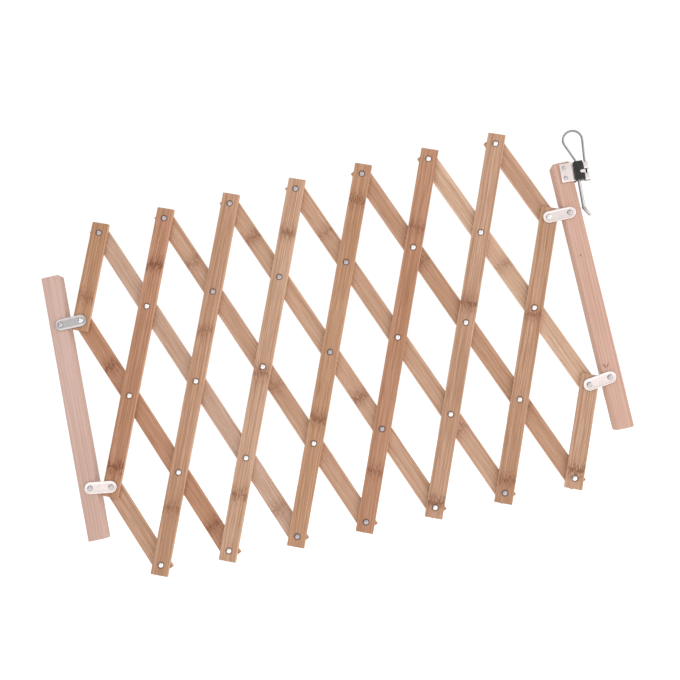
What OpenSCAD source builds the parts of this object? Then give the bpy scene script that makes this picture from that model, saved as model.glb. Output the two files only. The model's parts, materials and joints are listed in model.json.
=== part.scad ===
// Expanding lattice gate: riveted bamboo slats between two wooden end posts,
// joined by four strap links, with a spring drop bolt on the right-hand post.
// The gate stands upright: +X runs from the left post to the right post, the
// front faces -Y and +Z is up. The origin is the middle of the left post's
// outer side, the face that is fixed to a wall. Sizes are in millimetres.

/* [Lattice] */
// Distance between neighbouring rivets along a slat
pitch = 107; // [88:1:130]
// Lean of every slat from vertical in the modelled position, in degrees
rest_lean = 22; // [14:0.5:30]
// Lean of every slat from vertical when the gate is fully open, in degrees
widest_lean = 34; // [32:0.5:38]
// Width of a slat
slat_w = 20.5; // [16:0.5:25]
// Thickness of a slat
slat_t = 5; // [4:0.5:7]
// Length of a front slat beyond its first and last rivet
front_end = 12; // [10:0.5:16]
// Length of a rear slat beyond its first and last rivet
rear_end = 9; // [7:0.5:12]
// Chamfer along the long edges of a slat
slat_chamfer = 0.6; // [0.2:0.1:1]

/* [Posts] */
// Width of an end post, seen from the front
post_w = 21; // [18:0.5:26]
// Depth of an end post, front to back
post_d = 20; // [16:0.5:26]
// Height of an end post
post_len = 315; // [262:1:380]
// Radius of the corners at a post's ends
post_corner = 2.5; // [1:0.5:4]
// Radius along the long edges of a post
post_edge = 1.2; // [0.5:0.1:2]
// Distance from a post's inner edge to its strap pivots
strap_inset = 7.2; // [6.5:0.1:9]

/* [Straps] */
// Width of a strap
strap_w = 14; // [11:0.5:16]
// Thickness of a strap
strap_t = 1.4; // [1:0.1:2]
// How much lower the lattice end of a lower strap sits than its post end
strap_drop = 3.4; // [0:0.1:8]

/* [Rivets] */
// Radius of a rivet's shank
rivet_r = 1.6; // [1.2:0.1:2]
// Radius of a rivet's domed head
head_r = 3.1; // [2.6:0.1:3.6]
// Height of a rivet's domed head
head_h = 1.3; // [0.8:0.1:1.8]
// Depth that a strap pin goes into its post
pin_depth = 13; // [8:0.5:15]

/* [Latch plate] */
// Width of the latch plate
plate_w = 16.5; // [14:0.5:18]
// Height of the latch plate
plate_h = 22.5; // [20:0.5:26]
// Thickness of the latch plate
plate_t = 1.4; // [1:0.1:2]
// Tilt of the whole latch, its top away from the lattice, in degrees
latch_tilt = 3.6; // [0:0.1:4]
// Distance from the top of the post to the middle of the plate
latch_drop = 14; // [12.5:0.5:20]
// Distance that the middle of the plate's edge stands beyond the post
latch_out = 2.8; // [2.5:0.1:3.5]
// Distance between the plate's two screws
screw_gap = 12; // [10:0.5:13]
// Distance from the plate's inner edge to its screws
screw_inset = 5; // [4:0.5:6]
// Radius of a plate screw's shank
screw_r = 1.3; // [1:0.1:1.5]

/* [Bolt] */
// Radius of the drop bolt
bolt_r = 1.8; // [1.6:0.1:2]
// Length of bolt below the latch block
bolt_len = 32; // [27:1:38]
// How far the pull loop lifts the bolt
bolt_travel = 10; // [7:0.5:10]
// Length of the bent foot under the bolt
foot_len = 11; // [6:0.5:14]
// Bend of the foot away from the bolt's line, in degrees
foot_bend = 33; // [20:1:50]
// Radius of the foot
foot_r = 1.7; // [1:0.1:1.8]

/* [Latch block] */
// Width of the moulded block
block_w = 10; // [9.5:0.5:13]
// Height of the moulded block
block_h = 22; // [22:0.5:27]
// Depth of the moulded block, front to back
block_d = 10; // [9:0.5:13]
// Room for the spring, between the bolt and the wall of its chamber in the block
spring_room = 0.9; // [0.8:0.05:1.1]
// Thickness of the block between its inner side and the spring chamber
chamber_wall = 0.7; // [0.6:0.1:1.2]
// Thickness of the block above and below the spring chamber
block_floor = 2; // [1.5:0.5:2.5]

/* [Pull loop] */
// Radius of the loop's wire
wire_r = 1.2; // [0.9:0.1:1.3]
// Radius of the loop's round top, at the middle of the wire
loop_r = 11.1; // [9:0.1:13]
// Height of the round top's middle above the block
loop_rise = 26.3; // [22:0.1:32]
// Sideways distance from the bolt's line to the round top's middle
loop_shift = 0.8; // [0:0.1:2]

/* [Ferrule and keeper] */
// Width of the ferrule and of the keeper
clasp_w = 6.6; // [6:0.1:8]
// Height of the ferrule
ferrule_h = 8; // [6:0.5:8]
// Depth of the ferrule, front to back
ferrule_d = 5.4; // [4:0.2:5.6]
// Height of the keeper below its tab
keeper_h = 8; // [6:0.5:8]
// Height of the keeper's tab
tab_h = 3.8; // [3:0.1:4]
// Length of the keeper's tab across the front of the block
tab_len = 4.6; // [3.5:0.1:5]

/* [Clearances] */
// Gap between layers that slide across each other
layer_gap = 0.3; // [0.2:0.05:0.5]
// Radial gap between a turning part and its pin
turn_gap = 0.08; // [0.05:0.01:0.1]
// Gap between a head and the moving part beneath it
head_gap = 0.15; // [0.1:0.05:0.3]
// Least distance between a slat's corner and a post
post_clear = 2; // [1:0.5:5]

/* [Hidden] */
$fn = 48;
// The lattice's rivets lie on a grid of columns and rows, where column + row is odd.
columns = 14;
rows = 4;
slats = 9;
through = 1; // overrun of a cut past the solid that it goes through

// Heights and spacings of the grid in the modelled position
column_step = pitch * sin(rest_lean);
row_step = pitch * cos(rest_lean);
upper_row = 3;
lower_row = 1;

// A strap reaches far enough to keep the slats' corners off the post when fully open.
longest_end = max(front_end, rear_end);
corner_reach = longest_end * sin(widest_lean) + slat_w / 2 * cos(widest_lean);
strap_reach = strap_inset + corner_reach + post_clear;
strap_spacing = (upper_row - lower_row) * row_step - strap_drop;
lower_tilt = asin(strap_drop / strap_reach);

// Places along X
left_pin_x = post_w - strap_inset;
lattice_x = left_pin_x + strap_reach;
lattice_w = columns * column_step;
right_pin_x = lattice_x + lattice_w + strap_reach;
right_post_x = right_pin_x - strap_inset;
right_side_x = right_post_x + post_w;

// Layers along Y, from the front
front_y = -post_d / 2;
strap_y = front_y - layer_gap - strap_t;
front_slat_y = front_y;
rear_slat_y = front_slat_y + slat_t + layer_gap;
rear_face_y = rear_slat_y + slat_t;

// Latch sizes, in the latch's own frame: X outward from the plate's outer edge,
// Z up along the bolt, the plate's middle at zero height
plate_y = front_y - plate_t;
plate_corner = 1;
block_y = front_y - block_d / 2;
bolt_y = front_y;
chamber_r = bolt_r + spring_room;
bolt_inset = chamber_r + chamber_wall;
block_top = block_h / 2;
chamber_top = block_top - block_floor;
bolt_end_z = -block_top - bolt_len;
collar_r = bolt_r + 0.8;
collar_h = 1.4;
seat_r = chamber_r - head_gap;
seat_h = 1;
chamber_floor = -block_top + block_floor;
seat_z = chamber_floor + head_gap;
stem_spare = 1; // room left over the bolt's top when it is fully lifted
stem_top = chamber_top - bolt_travel - stem_spare;
socket_h = 3;
spring_wire_share = 0.31; // radius of the spring's wire over the room beside the bolt
spring_wire_r = spring_room * spring_wire_share;
spring_z = seat_z + seat_h + spring_wire_r;
spring_fill = 0.6; // share of the room at full lift that the spring's turns fill
spring_turns = floor(spring_fill * (chamber_top - spring_z - bolt_travel) / (2 * spring_wire_r));
spring_sides = 6;
spring_steps = 14;
flange_w = 1.2;
flange_d = 5;
flange_lip = 1;
tongue_len = chamber_wall / 2;
tongue_h = 14;
tongue_t = 0.8;
arm_w = 5.5;
arm_d = 2.2;
arm_drop = 1.2;
arm_y = block_y + block_d - arm_d;
ferrule_x = block_w + layer_gap;
ferrule_y = arm_y - layer_gap - ferrule_d;
ferrule_z = 1.2;
ferrule_floor = 2;
ferrule_wire_x = ferrule_x + clasp_w / 2;
wire_stub = 1.2; // straight wire between the block and the loop's bends
wire_bend_z = block_top + wire_stub;
bend_swell = 0.03;
tab_z = 0.2;
tab_t = 1.3;
tab_proud = 0.3;
web_t = 1.4; // the strip round the block's corner that joins the tab to the keeper
keeper_step = 0.9;
keeper_proud = 0.6;
keeper_y = ferrule_y - keeper_proud;
keeper_top = tab_z - tab_h - keeper_step;
screw_head_r = 2.3;
screw_head_h = 1.2;
screw_depth = 9;

front_names = [for (i = [1 : slats]) str("front_slat_", i)];
rear_names = [for (i = [1 : slats]) str("rear_slat_", i)];
rivet_names = [for (i = [1 : slats]) str("rivets_slat_", i)];
other_names = [
    "post_left", "post_right",
    "strap_upper_left", "strap_lower_left", "strap_upper_right", "strap_lower_right",
    "strap_pins_left", "strap_pins_right", "strap_stud_left", "strap_stud_right",
    "latch_plate", "latch_plate_screws", "latch_block", "latch_bush", "latch_bolt",
    "latch_spring_seat", "latch_spring", "pull_loop", "loop_ferrule", "latch_keeper"
];

// Place of a rivet on the grid
function column_x(column) = lattice_x + column * column_step;
function row_z(row) = strap_spacing / 2 + (row - upper_row) * row_step;

// Slat i of a layer starts at this grid diagonal: column - row in front, column + row behind.
function front_diagonal(i) = 2 * i - 5;
function rear_diagonal(i) = 2 * i - 1;
function front_rows(i) = [max(0, -front_diagonal(i)), min(rows, columns - front_diagonal(i))];
function rear_rows(i) = [max(0, rear_diagonal(i) - columns), min(rows, rear_diagonal(i))];

// Grid points where a strap lies over the rivet, and where that rivet carries the strap
function is_edge(column) = column == 0 || column == columns;
function under_strap(column, row) = is_edge(column) && (row == upper_row || row == lower_row);
function carries_strap(column, row) = under_strap(column, row) && row == upper_row;

// Centres of the pull loop's round top and of its two feet, as X and Z in the latch's frame
loop_centre = [bolt_inset + loop_shift, block_top + loop_rise];
left_foot = [bolt_inset, wire_bend_z];
right_foot = [ferrule_wire_x, wire_bend_z];
// Direction from a foot along the line that touches the round top, to one side of its middle
function touch_angle(foot, side) =
    let (run = loop_centre - foot)
    atan2(run.y, run.x) + side * asin(loop_r / norm(run));
function touch_length(foot) = sqrt(pow(norm(loop_centre - foot), 2) - pow(loop_r, 2));
function touch_point(foot, side) =
    foot + touch_length(foot) * [cos(touch_angle(foot, side)), sin(touch_angle(foot, side))];
// Angle round the loop's middle at which a foot's straight leg meets the round top
function touch_turn(foot, side) =
    let (out = touch_point(foot, side) - loop_centre)
    atan2(out.y, out.x);

// A flat shape, drawn as X and Z, given a thickness along Y from y0 towards the back
module sheet_at(y0, thickness)
    translate([0, y0 + thickness, 0]) rotate([90, 0, 0]) linear_extrude(thickness) children();

// A round bar along Y
module bar_y(y0, length, r)
    translate([0, y0, 0]) rotate([-90, 0, 0]) cylinder(h = length, r = r);

module domed_head(radius, height) {
    sphere_r = (pow(radius, 2) + pow(height, 2)) / (2 * height);
    intersection() {
        translate([0, 0, height - sphere_r]) sphere(r = sphere_r);
        cylinder(h = height, r = radius);
    }
}

// A domed head whose flat side lies at y0 and whose dome faces the front or the back
module head_y(y0, facing)
    translate([0, y0, 0]) rotate([-90 * facing, 0, 0]) domed_head(head_r, head_h);

// A slat, standing on its lowest rivet, with a bore of radius bore_r at each rivet
module slat(rivets, end, bore_r) {
    half = slat_w / 2;
    length = (rivets - 1) * pitch + 2 * end;
    outline = [
        [-half + slat_chamfer, 0], [half - slat_chamfer, 0],
        [half, slat_chamfer], [half, slat_t - slat_chamfer],
        [half - slat_chamfer, slat_t], [-half + slat_chamfer, slat_t],
        [-half, slat_t - slat_chamfer], [-half, slat_chamfer]
    ];
    difference() {
        translate([0, 0, -end]) linear_extrude(length) polygon(outline);
        for (i = [0 : rivets - 1])
            translate([0, 0, i * pitch]) bar_y(-through, slat_t + 2 * through, bore_r);
    }
}

module front_slat(i) {
    span = front_rows(i);
    color("tan")
        translate([column_x(front_diagonal(i) + span[0]), front_slat_y, row_z(span[0])])
            rotate([0, rest_lean, 0]) slat(span[1] - span[0] + 1, front_end, rivet_r);
}

module rear_slat(i) {
    span = rear_rows(i);
    color("burlywood")
        translate([column_x(rear_diagonal(i) - span[0]), rear_slat_y, row_z(span[0])])
            rotate([0, -rest_lean, 0])
                slat(span[1] - span[0] + 1, rear_end, rivet_r + turn_gap);
}

// One rivet through both layers. Under a lower strap it has no front head; under an
// upper strap it goes on through the strap and carries its head in front of it.
module lattice_rivet(column, row) {
    face = carries_strap(column, row) ? strap_y - head_gap : front_y;
    back = rear_face_y + head_gap;
    bar_y(face, back - face, rivet_r);
    head_y(back, 1);
    if (carries_strap(column, row) || !under_strap(column, row)) head_y(face, -1);
}

module slat_rivets(i) {
    span = front_rows(i);
    color("silver")
        for (row = [span[0] : span[1]]) {
            column = front_diagonal(i) + row;
            translate([column_x(column), 0, row_z(row)]) lattice_rivet(column, row);
        }
}

// A square-section batten with its inner side at X zero and its middle at zero height
module post_blank() {
    intersection() {
        translate([0, 0, -post_len / 2]) linear_extrude(post_len)
            rounded_box([0, -post_d / 2], [post_w, post_d / 2], post_edge);
        sheet_at(-post_d / 2, post_d)
            rounded_box([0, -post_len / 2], [post_w, post_len / 2], post_corner);
    }
}

module rounded_box(low, high, r) {
    translate([low.x, low.y + r]) square([high.x - low.x, high.y - low.y - 2 * r]);
    translate([low.x + r, low.y]) square([high.x - low.x - 2 * r, high.y - low.y]);
    for (x = [low.x + r, high.x - r], y = [low.y + r, high.y - r]) translate([x, y]) circle(r);
}

// The two holes for the strap pins, in a post whose pins stand at X
module pin_holes(x)
    for (side = [-1, 1])
        translate([x, 0, side * strap_spacing / 2])
            bar_y(front_y - through, pin_depth + through, rivet_r);

module post_left()
    color("bisque")
        difference() {
            post_blank();
            pin_holes(left_pin_x);
        }

module post_right()
    color("bisque")
        difference() {
            translate([right_post_x, 0, 0]) post_blank();
            pin_holes(right_pin_x);
            at_latch() at_screws() bar_y(front_y - through, screw_depth + through, screw_r);
        }

// The two pins that hold a post's straps, each with a domed head in front
module strap_pins(x)
    color("silver")
        for (side = [-1, 1])
            translate([x, 0, side * strap_spacing / 2]) {
                bar_y(strap_y - head_gap, pin_depth - strap_y + front_y + head_gap, rivet_r);
                head_y(strap_y - head_gap, -1);
            }

// A strap from its post pivot at zero to its lattice pivot along +X
module strap(lattice_bore_r)
    sheet_at(strap_y, strap_t)
        difference() {
            union() {
                translate([0, -strap_w / 2]) square([strap_reach, strap_w]);
                for (x = [0, strap_reach]) translate([x, 0]) circle(strap_w / 2);
            }
            circle(rivet_r + turn_gap);
            translate([strap_reach, 0]) circle(lattice_bore_r);
        }

// The straps stand on their post pivots; mirrored is 1 on the left post and -1 on the right.
module upper_strap(x, mirrored)
    color("gainsboro")
        translate([x, 0, strap_spacing / 2])
            mirror([mirrored < 0 ? 1 : 0, 0, 0]) strap(rivet_r + turn_gap);

module lower_strap(x, mirrored)
    color("gainsboro")
        translate([x, 0, -strap_spacing / 2])
            mirror([mirrored < 0 ? 1 : 0, 0, 0]) rotate([0, lower_tilt, 0]) strap(rivet_r);

// The short stud in a lower strap's lattice end, over the lattice rivet's flush end
module strap_stud(x, mirrored)
    color("silver")
        translate([x, 0, -strap_spacing / 2])
            mirror([mirrored < 0 ? 1 : 0, 0, 0]) rotate([0, lower_tilt, 0])
                translate([strap_reach, 0, 0]) {
                    bar_y(strap_y, strap_t, rivet_r);
                    head_y(strap_y, -1);
                }

// The latch's own frame
module at_latch()
    translate([right_side_x + latch_out, 0, post_len / 2 - latch_drop])
        rotate([0, latch_tilt, 0]) children();

module at_screws()
    for (side = [-1, 1])
        translate([-plate_w + screw_inset, 0, side * screw_gap / 2]) children();

module latch_plate()
    color("gainsboro")
        at_latch() difference() {
            union() {
                sheet_at(plate_y, plate_t)
                    rounded_box([-plate_w, -plate_h / 2], [0, plate_h / 2], plate_corner);
                plate_tongue();
            }
            at_screws() bar_y(plate_y - through, plate_t + 2 * through, screw_r + turn_gap);
        }

// The part of the plate that is moulded into the block
module plate_tongue()
    translate([-through, plate_y, -tongue_h / 2]) cube([tongue_len + through, tongue_t, tongue_h]);

module latch_plate_screws()
    color("silver")
        at_latch() at_screws() {
            bar_y(plate_y, screw_depth + plate_t, screw_r);
            translate([0, plate_y, 0]) rotate([90, 0, 0]) domed_head(screw_head_r, screw_head_h);
        }

// A box in the latch's frame between two corners
module span_box(low, high)
    translate(low) cube(high - low);

module latch_block()
    color([0.06, 0.06, 0.07])
        at_latch() difference() {
            union() {
                span_box([0, block_y, -block_top], [block_w, block_y + block_d, block_top]);
                span_box([-flange_w, front_y, -block_top - flange_lip],
                         [through, front_y + flange_d, block_top + flange_lip / 2]);
                span_box([block_w - through, arm_y, -block_top],
                         [block_w + arm_w, arm_y + arm_d, block_top - arm_drop]);
            }
            plate_tongue();
            translate([bolt_inset, bolt_y, -block_top - through])
                cylinder(h = chamber_top + block_top + through, r = chamber_r);
            translate([bolt_inset, bolt_y, chamber_top - through])
                cylinder(h = block_floor + 2 * through, r = wire_r + turn_gap);
            tab_shape(layer_gap);
        }

// The guide bush that closes the spring chamber and carries the bolt
module latch_bush()
    color("dimgray")
        at_latch() translate([bolt_inset, bolt_y, -block_top]) difference() {
            cylinder(h = block_floor, r = chamber_r);
            translate([0, 0, -through]) cylinder(h = block_floor + 2 * through, r = bolt_r + turn_gap);
        }

module latch_bolt()
    color("silver")
        at_latch() translate([bolt_inset, bolt_y, 0]) {
            difference() {
                translate([0, 0, bolt_end_z]) cylinder(h = stem_top - bolt_end_z, r = bolt_r);
                translate([0, 0, stem_top - socket_h]) cylinder(h = socket_h + through, r = wire_r);
            }
            translate([0, 0, bolt_end_z - collar_h]) cylinder(h = collar_h, r = collar_r);
            translate([0, 0, bolt_end_z - collar_h]) {
                sphere(r = foot_r);
                rotate([0, 180 - foot_bend, 0]) cylinder(h = foot_len, r = foot_r);
            }
        }

// The ring that the spring presses down, fast on the bolt
module latch_spring_seat()
    color("silver")
        at_latch() translate([bolt_inset, bolt_y, seat_z]) difference() {
            cylinder(h = seat_h, r = seat_r);
            translate([0, 0, -through]) cylinder(h = seat_h + 2 * through, r = bolt_r);
        }

// A helix of wire from z0 to z1, swept with flat-sided rings
module coil(r, wire, turns, z0, z1) {
    rings = turns * spring_steps;
    points = [
        for (i = [0 : rings], s = [0 : spring_sides - 1])
            let (
                turn = 360 * i / spring_steps,
                side = 360 * s / spring_sides,
                out = r + wire * cos(side)
            )
            [out * cos(turn), out * sin(turn), z0 + (z1 - z0) * i / rings + wire * sin(side)]
    ];
    walls = [
        for (i = [0 : rings - 1], s = [0 : spring_sides - 1])
            let (a = i * spring_sides, b = a + spring_sides, next = (s + 1) % spring_sides)
            [a + s, b + s, b + next, a + next]
    ];
    first = [for (s = [0 : spring_sides - 1]) s];
    last = [for (s = [spring_sides - 1 : -1 : 0]) rings * spring_sides + s];
    polyhedron(points, concat(walls, [first, last]), convexity = 10);
}

module latch_spring()
    color("silver")
        at_latch() translate([bolt_inset, bolt_y, 0])
            coil((bolt_r + chamber_r) / 2, spring_wire_r, spring_turns,
                 spring_z, chamber_top - spring_wire_r);

// A straight length of wire between two points given as X and Z
module wire(from, to)
    translate([from.x, bolt_y, from.y])
        rotate([0, 90 - atan2(to.y - from.y, to.x - from.x), 0])
            cylinder(h = norm(to - from), r = wire_r);

// The wire is a hair thicker where it bends
module bend(point)
    translate([point.x, bolt_y, point.y]) sphere(r = wire_r + bend_swell);

module pull_loop() {
    start = touch_turn(right_foot, -1);
    sweep = touch_turn(left_foot, 1) - start;
    color("silver")
        at_latch() {
            wire([bolt_inset, stem_top - socket_h], left_foot);
            bend(left_foot);
            wire(left_foot, touch_point(left_foot, 1));
            bend(touch_point(left_foot, 1));
            translate([loop_centre.x, bolt_y, loop_centre.y]) rotate([90, 0, 0])
                rotate([0, 0, start]) rotate_extrude(angle = sweep < 0 ? sweep + 360 : sweep)
                    translate([loop_r, 0]) circle(wire_r);
            bend(touch_point(right_foot, -1));
            wire(right_foot, touch_point(right_foot, -1));
            bend(right_foot);
            wire([ferrule_wire_x, ferrule_z + ferrule_floor], right_foot);
        }
}

module loop_ferrule()
    color("gainsboro")
        at_latch() difference() {
            span_box([ferrule_x, ferrule_y, ferrule_z],
                     [ferrule_x + clasp_w, ferrule_y + ferrule_d, ferrule_z + ferrule_h]);
            translate([ferrule_wire_x, bolt_y, ferrule_z + ferrule_floor])
                cylinder(h = ferrule_h, r = wire_r);
        }

// The keeper's tab, which lies in a notch in the block's front, grown by a margin
module tab_shape(margin) {
    r = tab_h / 2;
    sheet_at(block_y - tab_proud, tab_t + margin) {
        translate([block_w - tab_len + r, tab_z - r]) circle(r + margin);
        translate([block_w - tab_len + r, tab_z - tab_h - margin])
            square([tab_len - r + through, tab_h + 2 * margin]);
    }
}

module latch_keeper()
    color("gainsboro")
        at_latch() {
            tab_shape(0);
            span_box([block_w, block_y - tab_proud, keeper_top - through],
                     [block_w + web_t, keeper_y + through, tab_z]);
            span_box([block_w, keeper_y, keeper_top - keeper_h],
                     [block_w + clasp_w, arm_y, keeper_top]);
        }

for (i = [1 : slats]) {
    front_slat(i);
    rear_slat(i);
    slat_rivets(i);
}
post_left();
post_right();
upper_strap(left_pin_x, 1);  // strap_upper_left
lower_strap(left_pin_x, 1);  // strap_lower_left
upper_strap(right_pin_x, -1);  // strap_upper_right
lower_strap(right_pin_x, -1);  // strap_lower_right
strap_pins(left_pin_x);  // strap_pins_left
strap_pins(right_pin_x);  // strap_pins_right
strap_stud(left_pin_x, 1);  // strap_stud_left
strap_stud(right_pin_x, -1);  // strap_stud_right
latch_plate();
latch_plate_screws();
latch_block();
latch_bush();
latch_bolt();
latch_spring_seat();
latch_spring();
pull_loop();
loop_ferrule();
latch_keeper();
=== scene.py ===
import json
import math
import random

import bmesh
import bpy
from mathutils import Matrix, Vector


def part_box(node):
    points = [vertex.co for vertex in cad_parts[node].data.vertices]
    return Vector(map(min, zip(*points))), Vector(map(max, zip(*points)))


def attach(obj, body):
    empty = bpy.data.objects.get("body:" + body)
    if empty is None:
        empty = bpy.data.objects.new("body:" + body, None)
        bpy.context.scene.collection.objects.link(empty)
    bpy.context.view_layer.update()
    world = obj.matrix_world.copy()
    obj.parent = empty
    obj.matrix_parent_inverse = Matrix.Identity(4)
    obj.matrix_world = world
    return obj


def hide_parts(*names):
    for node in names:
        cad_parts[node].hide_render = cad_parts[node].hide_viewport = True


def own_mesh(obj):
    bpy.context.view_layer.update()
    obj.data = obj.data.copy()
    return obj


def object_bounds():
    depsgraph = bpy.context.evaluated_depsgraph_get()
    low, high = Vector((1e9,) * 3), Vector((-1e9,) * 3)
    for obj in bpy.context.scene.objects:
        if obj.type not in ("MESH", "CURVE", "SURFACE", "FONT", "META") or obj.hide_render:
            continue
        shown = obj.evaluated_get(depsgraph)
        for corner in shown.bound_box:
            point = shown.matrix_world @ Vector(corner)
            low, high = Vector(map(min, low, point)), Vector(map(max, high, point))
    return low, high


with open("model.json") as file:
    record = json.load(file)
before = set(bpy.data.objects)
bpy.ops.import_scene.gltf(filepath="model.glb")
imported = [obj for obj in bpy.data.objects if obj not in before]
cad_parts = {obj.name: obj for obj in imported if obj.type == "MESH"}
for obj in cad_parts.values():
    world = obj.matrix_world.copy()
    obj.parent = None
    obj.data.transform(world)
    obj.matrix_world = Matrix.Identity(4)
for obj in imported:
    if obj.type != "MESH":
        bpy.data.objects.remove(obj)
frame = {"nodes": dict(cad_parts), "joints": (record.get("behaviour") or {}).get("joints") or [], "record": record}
cad_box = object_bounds()
joints = {j["name"]: Vector(j["pos_m"]) for j in frame["joints"] if "pos_m" in j}
mounts = {m["name"]: m for m in frame["record"]["mounts"]}
random.seed(22)

# ---------------------------------------------------------------- mesh helpers


def rounded_rect(w, d, r, steps=3):
    """Points round a w by d rectangle centred on zero, with corners of radius r."""
    points = []
    for i, (sx, sy) in enumerate(((1, 1), (-1, 1), (-1, -1), (1, -1))):
        for k in range(steps + 1):
            a = math.pi / 2 * (i + k / steps)
            points.append((sx * (w / 2 - r) + r * math.cos(a), sy * (d / 2 - r) + r * math.sin(a)))
    return points


def capsule(length, r, steps=14):
    """Points round a capsule from zero to length along X."""
    points = []
    for centre, start in ((length, -90), (0, 90)):
        for k in range(steps + 1):
            a = math.radians(start + 180 * k / steps)
            points.append((centre + r * math.cos(a), r * math.sin(a)))
    return points


def loft(rings):
    """A mesh through rings of equally many points, with flat caps."""
    bm = bmesh.new()
    rows = [[bm.verts.new(p) for p in ring] for ring in rings]
    for a, b in zip(rows, rows[1:]):
        for i in range(len(a)):
            j = (i + 1) % len(a)
            bm.faces.new((a[i], a[j], b[j], b[i]))
    bm.faces.new(list(reversed(rows[0])))
    bm.faces.new(rows[-1])
    bmesh.ops.recalc_face_normals(bm, faces=bm.faces)
    return bm


def lathe(profile, segments=32):
    """A turned mesh round local Y through (radius, y) pairs; the profile ends on the axis."""
    bm = bmesh.new()
    rows = []
    for r, y in profile:
        if r < 1e-7:
            rows.append([bm.verts.new((0, y, 0))])
        else:
            turns = [2 * math.pi * i / segments for i in range(segments)]
            rows.append([bm.verts.new((r * math.cos(t), y, r * math.sin(t))) for t in turns])
    for a, b in zip(rows, rows[1:]):
        for i in range(segments):
            j = (i + 1) % segments
            if len(a) == 1:
                bm.faces.new((a[0], b[j], b[i]))
            elif len(b) == 1:
                bm.faces.new((a[i], a[j], b[0]))
            else:
                bm.faces.new((a[i], a[j], b[j], b[i]))
    bmesh.ops.recalc_face_normals(bm, faces=bm.faces)
    return bm


def joined(parts):
    """One mesh from (bmesh, matrix) pairs."""
    total = bmesh.new()
    for bm, place in parts:
        bm.transform(place)
        scratch = bpy.data.meshes.new("scratch")
        bm.to_mesh(scratch)
        bm.free()
        total.from_mesh(scratch)
        bpy.data.meshes.remove(scratch)
    return total


def to_mesh(name, bm, smooth=35):
    mesh = bpy.data.meshes.new(name)
    bm.to_mesh(mesh)
    bm.free()
    mesh.polygons.foreach_set("use_smooth", [True] * len(mesh.polygons))
    mesh.set_sharp_from_angle(angle=math.radians(smooth))
    return mesh


def bored(bm, cutters):
    """bm with the cutter meshes, given as (bmesh, matrix), taken out of it."""
    made = []
    for label, shape in (("solid", bm), ("cutter", joined(cutters))):
        mesh = bpy.data.meshes.new(label)
        shape.to_mesh(mesh)
        shape.free()
        obj = bpy.data.objects.new(label, mesh)
        bpy.context.scene.collection.objects.link(obj)
        made.append(obj)
    solid, cutter = made
    cut = solid.modifiers.new("cut", "BOOLEAN")
    cut.operation = "DIFFERENCE"
    cut.solver = "EXACT"
    cut.object = cutter
    bpy.context.view_layer.update()
    result = bpy.data.meshes.new_from_object(solid.evaluated_get(bpy.context.evaluated_depsgraph_get()))
    out = bmesh.new()
    out.from_mesh(result)
    for obj in made:
        mesh = obj.data
        bpy.data.objects.remove(obj)
        bpy.data.meshes.remove(mesh)
    bpy.data.meshes.remove(result)
    return out


def rod(r, y0, y1, segments=32):
    """A plain round cutter along local Y."""
    return lathe([(0, y0), (r, y0), (r, y1), (0, y1)], segments)


def piece(name, bm, place, material, body, stands_for, smooth=35):
    obj = bpy.data.objects.new(name, to_mesh(name, bm, smooth))
    bpy.context.scene.collection.objects.link(obj)
    obj.matrix_world = place
    obj.data.materials.append(material)
    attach(obj, body)
    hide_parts(*stands_for)
    return obj


def tube(name, points, radius, place, material, body, stands_for):
    """A round bar swept through points in the piece's own X and Z, with domed ends."""
    turns = [2 * math.pi * k / 16 for k in range(16)]
    path = [Vector((x, 0, z)) for x, z in points]
    rings = []
    for i, p in enumerate(path):
        along = (path[min(i + 1, len(path) - 1)] - path[max(i - 1, 0)]).normalized()
        side = Vector((along.z, 0, -along.x))
        # the two ends close in a dome
        ends = []
        if i == 0 or i == len(path) - 1:
            sign = -1 if i == 0 else 1
            ends = [(math.cos(a), sign * math.sin(a)) for a in (0, 0.5, 1.0, 1.35)]
            ends = ends[::-1] if i == 0 else ends
        for wide, out in ends or [(1, 0)]:
            centre = p + along * radius * out
            rings.append([centre + radius * wide * (side * math.cos(t) + Vector((0, 1, 0)) * math.sin(t))
                          for t in turns])
    bar = loft(rings)
    bar.transform(place)
    return piece(name, bar, Matrix.Identity(4), material, body, stands_for, 60)


def turned(angle):
    """A turn about Y that carries local Z towards +X by angle."""
    return Matrix.Rotation(angle, 4, "Y")


# ---------------------------------------------------------------- materials


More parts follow.
